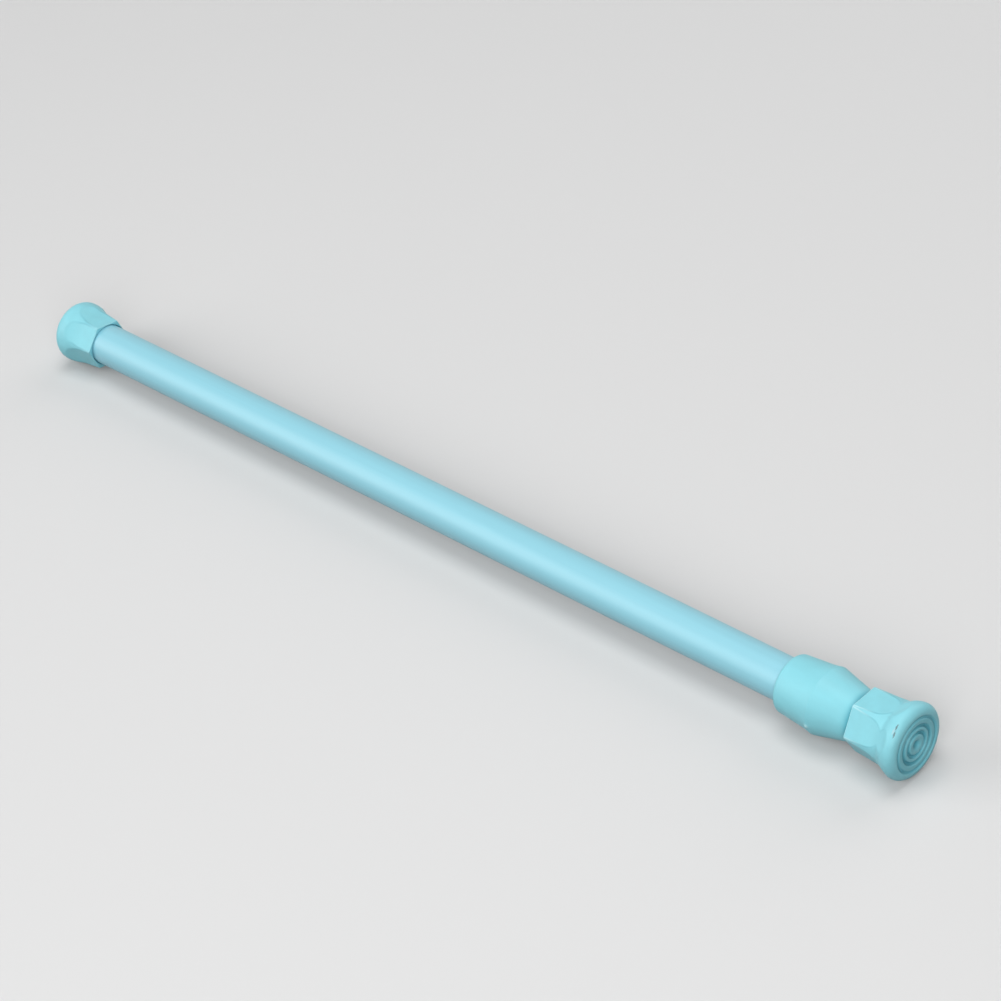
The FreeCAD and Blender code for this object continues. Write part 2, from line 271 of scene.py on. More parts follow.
class LockShape(bpy.types.PropertyGroup):
    """The lock rod and the push spring inside the tubes."""

    rod_radius: length("Rod radius", "Radius of the bar and crest of its thread", 3.0 * MM)
    rod_flat: length("Rod flat", "From the axis to a flat of the sliding end", 2.4 * MM)
    shoulder_length: length("Shoulder", "Thickness of the shoulder", 1.5 * MM)
    groove_radius: length("Groove radius", "Bottom of the grooves for the clips", 2.2 * MM)
    chamfer: length("Chamfer", "Chamfer of the bar's ends", 0.4 * MM)
    pitch: length("Pitch", "Pitch of the thread", 1.0 * MM)
    thread_depth: length("Thread depth", "From crest to root", 0.6 * MM)
    flat_blend: length("Flat blend", "Rounding width of the edges of the flats", 0.06 * MM)
    spacing: length("Spacing", "Distance between grid rows", 0.1 * MM)
    columns: whole("Columns", "Grid columns round the rod", 96)
    wire: length("Wire", "Thickness of the spring wire", 1.2 * MM)
    turns: level("Turns", "Turns of the spring", 7.5)


class FinishColours(bpy.types.PropertyGroup):
    """Colours of the finishes."""

    film: colour("Film", "Plastic film on the tubes", (0.275, 0.625, 0.74))
    rubber: colour("Rubber", "Rubber of the feet", (0.27, 0.685, 0.775))
    # Colour of the painted highlights on the edges of the feet's flats and mouths, and of the collar's nub
    edge: colour("Edge", "Thin moulded edges of the feet and the collar's nub", (0.62, 0.91, 0.96))
    # Colour of the painted shade in the wall faces' grooves and on their crests, in the creases of the
    # flats, in the feet's mouths and on the collar's tip
    painted_shade: colour("Grime", "Dirt on the wall faces, in the creases, mouths and seam", (0.012, 0.27, 0.36))
    scuff: colour("Scuff", "Dark rubbed-in dirt", (0.11, 0.13, 0.14))
    flake: colour("Flake", "Pale torn rubber", (0.50, 0.68, 0.73))
    collar: colour("Collar", "Moulded plastic of the collar", (0.265, 0.685, 0.775))
    nylon: colour("Nylon", "Natural nylon of the lock", (0.78, 0.76, 0.70))
    bright_steel: colour("Bright steel", "Drawn steel", (0.60, 0.60, 0.60))
    spring_steel: colour("Spring steel", "Oiled spring steel", (0.42, 0.42, 0.43))
    floor: colour("Floor", "Floor and backdrop", (0.74, 0.74, 0.74))


class StageSetup(bpy.types.PropertyGroup):
    """Camera, lamps and floor."""

    camera_place: lengths("Camera", "Where the camera stands", (0.92586, -0.60828, 0.72477))
    camera_aim: lengths("Aim", "What the camera looks at", (0.22674, 0.00923, 0.00795))
    camera_roll: turn("Roll", "How far the camera is turned about its line of sight", -8.696)
    lens: level("Lens", "Focal length in millimetres", 118.264)
    sensor: level("Sensor", "Sensor width in millimetres", 36.0)
    floor_reach: length("Floor reach", "Half the width of the floor", 12.0)
    floor_gap: length("Floor gap", "Gap under the feet", 0.02 * MM)
    floor_fade: lengths("Floor fade", "Where the floor starts and ends fading, from the middle", (0.6, 1.5))
    floor_return: level("Floor return", "Share of its colour that the floor throws back as soft light", 0.15)
    key_power: level("Key", "Power of the key lamp at the front right in watts", 18.0)
    side_power: level("Side", "Power of the lamp at the front left in watts", 15.5)
    top_power: level("Top", "Power of the lamp overhead in watts", 10.0)
    back_power: level("Back", "Power of the lamp above and behind in watts", 6.0)
    sky: level("Sky", "Light from all round", 0.18)
    backdrop: level("Backdrop", "Brightness of the backdrop as the camera sees it", 0.8)


class RodProperties(bpy.types.PropertyGroup):
    """All the properties of the rod."""

    tubes: PointerProperty(type=TubeShape)
    outer_foot: PointerProperty(type=OuterFootShape)
    inner_foot: PointerProperty(type=InnerFootShape)
    collar: PointerProperty(type=CollarShape)
    lock: PointerProperty(type=LockShape)
    colours: PointerProperty(type=FinishColours)
    stage: PointerProperty(type=StageSetup)


# Outlines: rows of complex numbers, the real part along the rod and the imaginary part from its axis


def dot(first, second):
    """Scalar product of two outline directions: the real part of first times second's conjugate."""
    return (first * np.conj(second)).real


def straight(start, end, spacing):
    """A straight stretch without its end: start + t (end - start), t even from 0 to 1."""
    count = max(1, round(abs(end - start) / spacing))
    return start + (end - start) * np.arange(count) / count


def arc(centre, start, end, spacing):
    """The shorter arc about centre without its end: the angle grows evenly from start to end."""
    arm = start - centre
    sweep = np.angle((end - centre) / arm)
    count = max(2, round(abs(arm * sweep) / spacing))
    return centre + arm * np.exp(1j * sweep * np.arange(count) / count)


def arc_centre(start, direction, end):
    """Centre of the arc that leaves start along direction and reaches end."""
    chord = end - start
    side = 1j * direction
    return start + side * abs(chord) ** 2 / (2 * dot(chord, side))


def wave(start, end, spacing):
    """Two equal arcs that meet half-way and leave and arrive square to the rod's axis."""
    middle = (start + end) / 2
    outwards = 1j * np.sign((end - start).imag)
    centre = arc_centre(start, outwards, middle)
    return np.concatenate([
        arc(centre, start, middle, spacing),
        arc(2 * middle - centre, middle, end, spacing),
    ])


def corner(before, point, after, radius):
    """Start, end and centre of the round that cuts a corner between two directions."""
    half_turn = abs(np.angle(after / before)) / 2
    back = radius * math.tan(half_turn)
    start = point - before * back
    side = 1j * before * np.sign(np.angle(after / before))
    return start, point + after * back, start + side * radius


def unit(direction):
    """A direction with length one."""
    return direction / abs(direction)


def polyline(points, spacing):
    """Straight stretches through all the points, with the last one."""
    runs = [straight(start, end, spacing) for start, end in zip(points, points[1:])]
    return np.concatenate(runs + [points[-1:]])


# Surfaces: grids of points with rows along an outline and columns round it


def round_angles(columns):
    """Even angles round the rod, counted from +Y towards +Z."""
    return np.arange(columns) * (2 * np.pi / columns)


def turned(along, radius, angles):
    """Points (x, r cos a, r sin a) for every row x, r of an outline and every column's angle a."""
    along, radius, angles = np.broadcast_arrays(along, radius, angles)
    return np.stack([along, radius * np.cos(angles), radius * np.sin(angles)], axis=-1)


def first_share(first, second, width):
    """How far the first of two surfaces is the smaller: 0 to 1 while they differ by less than a width."""
    return np.clip(0.5 + 0.5 * (second - first) / width, 0.0, 1.0)


def soft_min(first, second, width):
    """The smaller of two surfaces, with their meeting edge rounded over a width by a parabola."""
    mix = first_share(first, second, width)
    return second + (first - second) * mix - width * mix * (1.0 - mix)


def bell_curve(place, middle, width):
    """A bump of height one: exp(-((place - middle) / width)^2)."""
    return np.exp(-((place - middle) / width) ** 2)


def grid_faces(rows, columns, loop):
    """Corner numbers of the quads of a grid that is closed round, and along too if loop is set."""
    here = np.arange(rows * columns).reshape(rows, columns)
    beside = np.roll(here, -1, axis=1)
    quads = np.stack([here, np.roll(here, -1, axis=0), np.roll(beside, -1, axis=0), beside], axis=-1)
    return here, beside, (quads if loop else quads[:-1]).reshape(-1, 4)


def placed(name, data):
    """A new object in the scene that holds a mesh, a lamp or a camera."""
    holder = bpy.data.objects.new(name, data)
    bpy.context.scene.collection.objects.link(holder)
    return holder


def skin(name, points, loop=False, marks=None):
    """A closed mesh over a grid: a loop's last row joins its first, other grids get a pole at each end.

    Marks are values for every point of the grid, by name, that the finish reads.
    """
    rows, columns = points.shape[:2]
    here, beside, quads = grid_faces(rows, columns, loop)
    vertices = points.reshape(-1, 3)
    fans = np.empty((0, 3), int)
    if not loop:
        count = rows * columns
        vertices = np.concatenate([vertices, points[:1].mean(axis=1), points[-1:].mean(axis=1)])
        first = np.stack([np.full(columns, count), here[0], beside[0]], axis=-1)
        last = np.stack([here[-1], np.full(columns, count + 1), beside[-1]], axis=-1)
        fans = np.concatenate([first, last])
    # The enclosed volume, a sum of a . (b x c) over the quads' halves, is positive if they face outwards.
    a, b, c, d = (vertices[quads[:, k]] for k in range(4))
    if np.sum(a * (np.cross(b, c) + np.cross(c, d))) < 0:
        quads = quads[:, ::-1]
        fans = fans[:, ::-1]
    mesh = bpy.data.meshes.new(name)
    mesh.from_pydata(vertices.tolist(), [], quads.tolist() + fans.tolist())
    mesh.shade_smooth()
    mesh.set_sharp_from_angle(angle=SHARP_ANGLE)
    for mark, values in (marks or {}).items():
        values = np.broadcast_to(values, (rows, columns))
        every = np.concatenate([values.reshape(-1), [values[0].mean(), values[-1].mean()]])[:len(vertices)]
        mesh.attributes.new(mark, "FLOAT", "POINT").data.foreach_set("value", every)
    return placed(name, mesh)


def dress(piece, node, body, finish):
    """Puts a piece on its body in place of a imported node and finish."""
    piece.data.materials.append(finish)
    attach(piece, body)
    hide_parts(node)
    return piece


# Shapes of the pieces


def tube_points(start, end, radius, shape):
    """A tube: its wall's outline, a loop with rounded corners, turned about the rod's axis."""
    bore = radius - shape.wall
    cut = shape.end_round
    fine = cut / ROUND_STEPS
    left, right = start + cut, end - cut
    low, high = bore + cut, radius - cut
    outline = np.concatenate([
        straight(complex(left, radius), complex(right, radius), shape.spacing),
        arc(complex(right, high), complex(right, radius), complex(end, high), fine),
        arc(complex(right, low), complex(end, low), complex(right, bore), fine),
        straight(complex(right, bore), complex(left, bore), shape.spacing),
        arc(complex(left, low), complex(left, bore), complex(start, low), fine),
        arc(complex(left, high), complex(start, high), complex(left, radius), fine),
    ])
    return turned(outline.real[:, None], outline.imag[:, None], round_angles(shape.columns))


def face_outline(shape, face_radius):
    """A wall face from near its centre to its edge: flat lands with round-shouldered grooves between."""
    stretches = []
    land = 0j
    grooves = (shape.centre_dish, shape.inner_groove, shape.middle_groove, shape.shallow_groove)
    for middle, half, depth in grooves:
        bottom = complex(depth * half, middle) * face_radius
        inner = complex(0.0, middle - half) * face_radius
        outer = complex(0.0, middle + half) * face_radius
        if middle > 0:
            stretches.append(straight(land, inner, shape.spacing))
            stretches.append(wave(inner, bottom, shape.spacing))
        stretches.append(wave(bottom, outer, shape.spacing))
        land = outer
    return np.concatenate(stretches)[1:]


def bell_outline(shape, foot_length, flange_radius):
    """The outside of a foot from the edge of its face: rim, back of the rim, neck and bell."""
    along = np.exp(1j * (np.pi - shape.bell_slope))
    outward = np.exp(1j * (np.pi / 2 - shape.bell_slope))
    mouth = complex(foot_length, shape.mouth_radius)
    rim_centre = complex(shape.rim_round, flange_radius - shape.rim_round)
    rim_start = rim_centre - shape.rim_round
    rim_top = rim_centre + 1j * shape.rim_round
    back_centre = rim_top - 1j * shape.back_round
    # The neck's centre is on a line beside the bell, where its arc also touches the back of the rim.
    beside = mouth + outward * shape.neck_fillet - back_centre
    reach = shape.back_round + shape.neck_fillet
    half = dot(beside, along)
    travel = -half - math.sqrt(half ** 2 - abs(beside) ** 2 + reach ** 2)
    neck_centre = back_centre + beside + along * travel
    bell_start = mouth + along * travel
    back_end = back_centre + (neck_centre - back_centre) * (shape.back_round / reach)
    bell_end = mouth + along * shape.mouth_round
    return np.concatenate([
        arc(rim_centre, rim_start, rim_top, shape.spacing),
        arc(back_centre, rim_top, back_end, shape.spacing),
        arc(neck_centre, back_end, bell_start, shape.spacing),
        straight(bell_start, bell_end, shape.spacing),
        [bell_end],
    ])


def flat_radius(shape, depth, angles):
    """Distance from the axis to the flats, h / cos a: h slopes up from the mouth, then rises on an arc."""
    slope = math.tan(shape.flat_slope)
    plane = shape.flat_distance + depth * slope
    arm = shape.runout_radius
    run_depth = shape.flat_straight - arm * math.sin(shape.flat_slope)
    run_height = shape.flat_distance + shape.flat_straight * slope + arm * math.cos(shape.flat_slope)
    run = run_height - np.sqrt(arm ** 2 - np.clip(depth - run_depth, 0, arm) ** 2)
    height = np.where(depth < shape.flat_straight, plane, run)
    sector = 2 * np.pi / shape.flat_count
    across = (angles - shape.flat_turn + sector / 2) % sector - sector / 2
    return height[:, None] / np.cos(across)


def foot_points(shape, foot_length, flange_radius, tube_radius):
    """A foot with its face at 0: ringed face, bell with flats, round mouth edge, relief and bore.

    Each section gives x and r of its rows, and the two marks: ridge for a painted highlight on the edges and
    ring for painted shade.
    """
    angles = round_angles(shape.columns)
    face = face_outline(shape, flange_radius - shape.rim_round)[:, None]
    bell = bell_outline(shape, foot_length, flange_radius)[:, None]
    depth = foot_length - bell.real
    flats = flat_radius(shape, depth[:, 0], angles)
    bell_radius = soft_min(bell.imag, flats, shape.flat_blend)
    mix = first_share(bell.imag, flats, shape.flat_blend)
    flat_edge = 4 * mix * (1 - mix)
    quarter = np.linspace(0.0, np.pi / 2, MOUTH_STEPS + 1)[1:, None]
    edge_along = bell.real[-1] + depth[-1] * np.sin(quarter)
    edge_radius = bell_radius[-1] - shape.mouth_round * (1 - np.cos(quarter))
    bore = tube_radius + shape.seat_gap
    share = np.linspace(0.0, 1.0, LIP_STEPS + 1)[1:, None]
    lip_radius = edge_radius[-1] + (bore + shape.relief - edge_radius[-1]) * share
    inside = polyline([
        complex(foot_length, bore + shape.relief),
        complex(foot_length - shape.relief_depth, bore),
        complex(shape.floor, bore),
        complex(shape.floor, bore * POLE_SHARE),
    ], shape.relief_depth)[1:, None]
    # Painted highlight along the edges of the flats, fading away from the mouth
    pale = flat_edge * np.clip(1 - depth / shape.ridge_reach, 0.0, 1.0)
    # Painted shade along the crease where a flat runs out into the bell
    crease = shape.crease_painted_shade * flat_edge * bell_curve(depth, shape.flat_straight, shape.crease_reach)
    # Painted shade over the wall face, light on its crests and full in the bottoms of its grooves
    shaded = shape.face_painted_shade + (1 - shape.face_painted_shade) * face.real / face.real.max()
    sections = (
        (face.real, face.imag, 0.0, shaded),
        (bell.real, bell_radius, pale, crease),
        # The mouth's round edge gets a painted highlight
        (edge_along, edge_radius, np.sin(2 * quarter), 0.0),
        # The lip and the inside of the mouth get painted shade round the tube
        (foot_length, lip_radius, 0.0, shape.mouth_painted_shade * share ** 2),
        (inside.real, inside.imag, 0.0, shape.mouth_painted_shade),
    )
    rows = [np.broadcast_arrays(*section, angles)[:4] for section in sections]
    along, radius, ridge, ring = (np.concatenate(part) for part in zip(*rows))
    return turned(along, radius, angles), {"ridge": ridge * shape.ridge_level, "ring": ring}


def scuff_marks(shape, points):
    """Two dark strokes and a pale flake on the back of the rim: bell curves along and round the rod."""
    along = points[..., 0]
    around = np.arctan2(points[..., 2], points[..., 1]) % (2 * np.pi)
    edge = INNER_FLANGE_RADIUS
    outside = np.hypot(points[..., 1], points[..., 2]) > edge - shape.rim_round

    def stroke(place, turned_to):
        """A bell curve along the rod times one round it, outside the rim alone."""
        across = bell_curve(along, INNER_FACE - place, shape.scuff_width)
        return outside * across * bell_curve(around * edge, turned_to * edge, shape.scuff_length)

    scuff = sum(stroke(*each) for each in zip(shape.scuff_places, shape.scuff_turns))
    return {"scuff": scuff, "flake": stroke(shape.flake_place, shape.flake_turn)}


def collar_points(shape):
    """The collar: a loop of rounded rim, flare, lip, taper, tip and stepped bore, turned about the axis."""
    tube_bore = OUTER_TUBE_RADIUS + shape.seat_gap
    neck_bore = INNER_TUBE_RADIUS + shape.running_gap
    rim_centre = complex(COLLAR_START + shape.rim_round, shape.rim_radius - shape.rim_round)
    rim_start = rim_centre - shape.rim_round
    rim_end = rim_centre + 1j * shape.rim_round
    flare_end = complex(COLLAR_START + shape.flare_length, shape.flare_radius)
    lip = complex(COLLAR_START + shape.lip_position, shape.lip_radius)
    tip = complex(COLLAR_END, shape.tip_radius)
    flare = unit(flare_end - rim_end)
    taper = unit(tip - lip)
    swell = 2 * np.angle((lip - flare_end) / flare)
    lip_start, lip_end, lip_centre = corner(flare * np.exp(1j * swell), lip, taper, shape.edge_round)
    tip_start, tip_end, tip_centre = corner(taper, tip, -1j, shape.edge_round)
    neck_end = complex(COLLAR_END, neck_bore)
    neck_start = complex(OUTER_TUBE_END, neck_bore)
    step = complex(OUTER_TUBE_END, tube_bore)
    mouth = complex(COLLAR_START, tube_bore)
    fine = shape.edge_round / ROUND_STEPS
    outline = np.concatenate([
        straight(mouth, rim_start, shape.spacing),
        arc(rim_centre, rim_start, rim_end, shape.spacing),
        straight(rim_end, flare_end, shape.spacing),
        arc(arc_centre(flare_end, flare, lip_start), flare_end, lip_start, shape.spacing),
        arc(lip_centre, lip_start, lip_end, fine),
        straight(lip_end, tip_start, shape.spacing),
        arc(tip_centre, tip_start, tip_end, fine),
        straight(tip_end, neck_end, shape.spacing),
        polyline([neck_end, neck_start, step, mouth], BORE_STRIDE * shape.spacing)[:-1],
    ])
    angles = round_angles(shape.columns)
    # The nub: a real bump on the lip, painted pale, partly as the flash's colour and partly as a highlight
    nub = bell_curve(outline.real[:, None], lip.real, shape.nub_width)
    nub = nub * bell_curve(angles * shape.lip_radius, shape.nub_turn * shape.lip_radius, shape.nub_width)
    nub = nub * (outline.imag[:, None] > tube_bore + shape.rim_round)
    # Painted shade on the taper next to the tip, where the foot's mouth overhangs it
    seam = bell_curve(outline.real[:, None], COLLAR_END, shape.seam_reach)
    points = turned(outline.real[:, None], outline.imag[:, None] + shape.nub_height * nub, angles)
    return points, {"nub": nub, "seam": seam}


def clip_groove(shape, clip):
    """Corners of the groove that holds a clip: in from the bar, along and out again."""
    low, high = span(clip)[:2]
    return [
        complex(low, shape.rod_radius),
        complex(low, shape.groove_radius),
        complex(high, shape.groove_radius),
        complex(high, shape.rod_radius),
    ]


def rod_points(shape):
    """The lock rod: a turned bar with shoulder and clip grooves, a screw and two flats.

    The screw is a triangle wave of x / pitch - a / (2 pi) with cut crests and roots. A flat is z = rod_flat.
    """
    bar = shape.rod_radius
    angles = round_angles(shape.columns)
    shoulder_start = WASHER_START - shape.shoulder_length
    outline = polyline([
        complex(ROD_START, bar * POLE_SHARE),
        complex(ROD_START, bar - shape.chamfer),
        complex(ROD_START + shape.chamfer, bar),
        *clip_groove(shape, "cone_clip"),
        complex(shoulder_start, bar),
        complex(shoulder_start, SHOULDER_RADIUS),
        complex(WASHER_START, SHOULDER_RADIUS),
        complex(WASHER_START, bar),
        *clip_groove(shape, "stop_clip"),
        complex(ROD_END - shape.chamfer, bar),
        complex(ROD_END, bar - shape.chamfer),
        complex(ROD_END, bar * POLE_SHARE),
    ], shape.spacing)[:, None]
    along = outline.real
    on_bar = outline.imag <= bar * BAR_SLACK
    screw_start = span("cone_clip")[1]
    fade = np.clip(np.minimum(along - screw_start, shoulder_start - along) / shape.pitch, 0.0, 1.0)
    wave_height = np.abs(2 * ((along / shape.pitch - angles / (2 * np.pi)) % 1.0) - 1.0)
    thread = np.clip((wave_height - THREAD_CUT) / (1 - 2 * THREAD_CUT), 0.0, 1.0)
    radius = outline.imag - fade * on_bar * shape.thread_depth * thread
    flats = shape.rod_flat / np.maximum(np.abs(np.sin(angles)), LEAST_SINE)
    flatted = on_bar & (along >= WASHER_START)
    radius = np.where(flatted, soft_min(radius, flats, shape.flat_blend), radius)
    return turned(along, radius, angles)


def spring_points(shape):
    """The push spring: a circle carried along the helix (h a, R sin a, -R cos a), its ends ground flat."""
    mean = SPRING_RADIUS - shape.wire / 2
    start = WASHER_END + shape.wire / 2
    rise = (BUSH_START - WASHER_END - shape.wire) / (2 * np.pi * shape.turns)
    angle = np.linspace(0.0, 2 * np.pi * shape.turns, round(shape.turns * COIL_STEPS))[:, None]
    axis = np.array([1.0, 0.0, 0.0])
    outward = np.concatenate([0 * angle, np.sin(angle), -np.cos(angle)], axis=1)
    forward = np.concatenate([0 * angle, np.cos(angle), np.sin(angle)], axis=1)
    centre = (start + rise * angle) * axis + mean * outward
    tangent = rise * axis + mean * forward
    tangent /= np.linalg.norm(tangent, axis=1, keepdims=True)
    side = np.cross(tangent, outward)
    around = round_angles(WIRE_COLUMNS)[None, :, None]
    ring = np.cos(around) * outward[:, None] + np.sin(around) * side[:, None]
    points = centre[:, None] + shape.wire / 2 * ring
    points[..., 0] = np.clip(points[..., 0], SPRING_START, SPRING_END)
    return points


def floor_points(setup):
    """The floor: a square sheet whose slope lets it touch the rims of both feet."""
    properties = bpy.context.scene.tension_rod
    left = OUTER_FACE + properties.outer_foot.rim_round
    right = INNER_FACE - properties.inner_foot.rim_round
    slope = (OUTER_FLANGE_RADIUS - INNER_FLANGE_RADIUS) / (right - left)
    reach = np.linspace(-setup.floor_reach, setup.floor_reach, FLOOR_LINES)
    x, y = np.meshgrid(reach, reach, indexing="ij")
    return np.stack([x, y, -OUTER_FLANGE_RADIUS - setup.floor_gap + slope * (x - left)], axis=-1)


# Finishes


def combined(tree, operation, first, second):
    """What a maths node makes of two sockets."""
    node = tree.nodes.new("ShaderNodeMath")
    node.operation = operation
    tree.links.new(first, node.inputs[0])
    tree.links.new(second, node.inputs[1])
    return node.outputs["Value"]


class Finish:
    """A material with a short name for each node that feeds its shader."""

    def __init__(self, name, colour, roughness, metallic=0.0, specular=0.5):
        self.material = bpy.data.materials.new(name)
        self.material.use_nodes = True
        self.material.diffuse_color = (*colour, 1.0)
        self.colour = colour
        self.tree = self.material.node_tree
        self.nodes = self.tree.nodes
        self.links = self.tree.links
        self.shader = self.nodes["Principled BSDF"]
        self.shader.inputs["Base Color"].default_value = (*colour, 1.0)
        self.shader.inputs["Roughness"].default_value = roughness
        self.shader.inputs["Metallic"].default_value = metallic
        self.shader.inputs["Specular IOR Level"].default_value = specular
        self.place = self.nodes.new("ShaderNodeTexCoord").outputs["Object"]

    def noise(self, size, detail=2.0):
        """Noise whose grains measure size, three lengths in metres."""
        mapping = self.nodes.new("ShaderNodeMapping")
        mapping.inputs["Scale"].default_value = [1.0 / one for one in size]
        self.links.new(self.place, mapping.inputs["Vector"])
        texture = self.nodes.new("ShaderNodeTexNoise")
        texture.inputs["Scale"].default_value = 1.0
        texture.inputs["Detail"].default_value = detail
        self.links.new(mapping.outputs["Vector"], texture.inputs["Vector"])
        return texture.outputs["Fac"]

    def spread(self, factor, low, high):
        """A value that runs from low to high over the middle of a noise."""
        node = self.nodes.new("ShaderNodeMapRange")
        node.inputs["From Min"].default_value = NOISE_LOW
        node.inputs["From Max"].default_value = NOISE_HIGH
        node.inputs["To Min"].default_value = low
        node.inputs["To Max"].default_value = high
        self.links.new(factor, node.inputs["Value"])
        return node.outputs["Result"]

    def shade(self, factor, darker, lighter):
        """The base colour times a factor that runs from darker to lighter."""
        ramp = self.nodes.new("ShaderNodeValToRGB")
        stops = ((NOISE_LOW, darker), (NOISE_HIGH, lighter))
        for stop, (position, gain) in zip(ramp.color_ramp.elements, stops):
            stop.position = position
            stop.color = [*(min(1.0, gain * one) for one in self.colour), 1.0]
        self.links.new(factor, ramp.inputs["Fac"])
        return ramp.outputs["Color"]

    def mix(self, factor, first, second):
        """Two colours mixed by a factor: a socket or a plain colour, and a plain colour."""
        node = self.nodes.new("ShaderNodeMix")
        node.data_type = "RGBA"
        self.links.new(factor, node.inputs[MIX_FACTOR])
        if isinstance(first, bpy.types.NodeSocket):
            self.links.new(first, node.inputs[MIX_FIRST])
        else:
            node.inputs[MIX_FIRST].default_value = (*first, 1.0)
        node.inputs[MIX_SECOND].default_value = (*second, 1.0)
        return node.outputs[MIX_RESULT]

    def mark(self, name, strength, broken=None):
        """A mark that the mesh carries, times a strength, and broken up by noise if a grain is given."""
        node = self.nodes.new("ShaderNodeAttribute")
        node.attribute_name = name
        value = node.outputs["Fac"]
        reach = self.nodes.new("ShaderNodeMapRange")
        reach.inputs["To Max"].default_value = strength
        if broken:
            loss = self.spread(self.noise((broken,) * 3), 0.0, RAGGED_LOSS)
            value = combined(self.tree, "SUBTRACT", value, loss)
            reach.inputs["From Max"].default_value = RAGGED_FULL
        self.links.new(value, reach.inputs["Value"])
        return reach.outputs["Result"]

    def bump(self, height, depth):
        """Small relief at full strength, depth in metres."""
        node = self.nodes.new("ShaderNodeBump")
        node.inputs["Strength"].default_value = 1.0
        node.inputs["Distance"].default_value = depth
        self.links.new(height, node.inputs["Height"])
        self.feed("Normal", node.outputs["Normal"])

    def feed(self, socket, source):
        """Links a source to a socket of the shader."""
        self.links.new(source, self.shader.inputs[socket])


def film_finish(colours):
    """Satin plastic film drawn over a steel tube: faint lengthwise lines and a soft orange peel."""
    finish = Finish("tube_film_finish", colours.film, roughness=0.38, specular=0.8)
    lines = finish.noise(size=(90 * MM, 1.6 * MM, 1.6 * MM))
    finish.feed("Base Color", finish.shade(lines, darker=0.985, lighter=1.015))
    finish.feed("Roughness", finish.spread(lines, low=0.36, high=0.42))
    peel = finish.noise(size=(2.5 * MM, 0.7 * MM, 0.7 * MM))
    finish.bump(peel, depth=0.006 * MM)
    return finish.material


def rubber_finish(colours):
    """Soft matt rubber: cloudy colour, fine skin grain, the painted shade and painted highlights of the
    mesh, and its scuffs and flake.
    """
    finish = Finish("foot_rubber_finish", colours.rubber, roughness=0.44, specular=0.35)
    cloud = finish.noise(size=(5 * MM,) * 3, detail=3.0)
    tint = finish.shade(cloud, darker=0.965, lighter=1.03)
    # Painted shade from the ring mark: the wall face, the creases of the flats and the mouth
    tint = finish.mix(finish.mark("ring", strength=0.75), tint, colours.painted_shade)
    # Painted highlight on the edges of the flats and the mouth
    tint = finish.mix(finish.mark("ridge", strength=0.8), tint, colours.edge)
    tint = finish.mix(finish.mark("scuff", strength=0.8, broken=0.3 * MM), tint, colours.scuff)
    tint = finish.mix(finish.mark("flake", strength=0.75, broken=0.3 * MM), tint, colours.flake)
    finish.feed("Base Color", tint)
    finish.feed("Roughness", finish.spread(cloud, low=0.40, high=0.50))
    grain = finish.noise(size=(0.35 * MM,) * 3, detail=3.0)
    finish.bump(grain, depth=0.008 * MM)
    return finish.material


def collar_finish(colours):
    """Satin moulded plastic: faint flow clouds, a fine spark-eroded grain, painted shade on the taper by the
    tip and a pale nub, partly the flash's colour and partly a painted highlight.
    """
    finish = Finish("collar_plastic_finish", colours.collar, roughness=0.44, specular=0.35)
    flow = finish.noise(size=(11 * MM, 5 * MM, 5 * MM), detail=3.0)
    tint = finish.shade(flow, darker=0.97, lighter=1.03)
    # Painted shade on the taper next to the tip
    tint = finish.mix(finish.mark("seam", strength=0.75), tint, colours.painted_shade)
    # Pale nub: partly the flash's own colour and partly a painted highlight
    tint = finish.mix(finish.mark("nub", strength=0.95), tint, colours.edge)
    finish.feed("Base Color", tint)
    finish.feed("Roughness", finish.spread(flow, low=0.40, high=0.49))
    grain = finish.noise(size=(0.3 * MM,) * 3)
    finish.bump(grain, depth=0.008 * MM)
    return finish.material


def nylon_finish(colours):
    """Natural nylon: warm, slightly cloudy and waxy."""
    finish = Finish("lock_nylon_finish", colours.nylon, roughness=0.48, specular=0.45)
    cloud = finish.noise(size=(3 * MM,) * 3, detail=3.0)
    finish.feed("Base Color", finish.shade(cloud, darker=0.97, lighter=1.02))
    finish.feed("Roughness", finish.spread(cloud, low=0.42, high=0.54))
    grain = finish.noise(size=(0.4 * MM,) * 3)
    finish.bump(grain, depth=0.008 * MM)
    return finish.material


def steel_finish(name, colour, roughness, lines):
    """Drawn steel: lines along the draw with a slightly uneven polish."""
    finish = Finish(name, colour, roughness, metallic=1.0)
    drawn = finish.noise(lines, detail=3.0)
    finish.feed("Base Color", finish.shade(drawn, darker=0.88, lighter=1.08))
    finish.feed("Roughness", finish.spread(drawn, low=roughness - 0.07, high=roughness + 0.09))
    finish.bump(drawn, depth=0.003 * MM)
    return finish.material


def seen_ray(tree):
    """One for rays from the camera, from gloss and through glass, and nothing for rays of soft light."""
    path = tree.nodes.new("ShaderNodeLightPath")
    seen = path.outputs["Is Camera Ray"]
    for other in ("Is Glossy Ray", "Is Transmission Ray"):
        seen = combined(tree, "MAXIMUM", seen, path.outputs[other])
    return seen


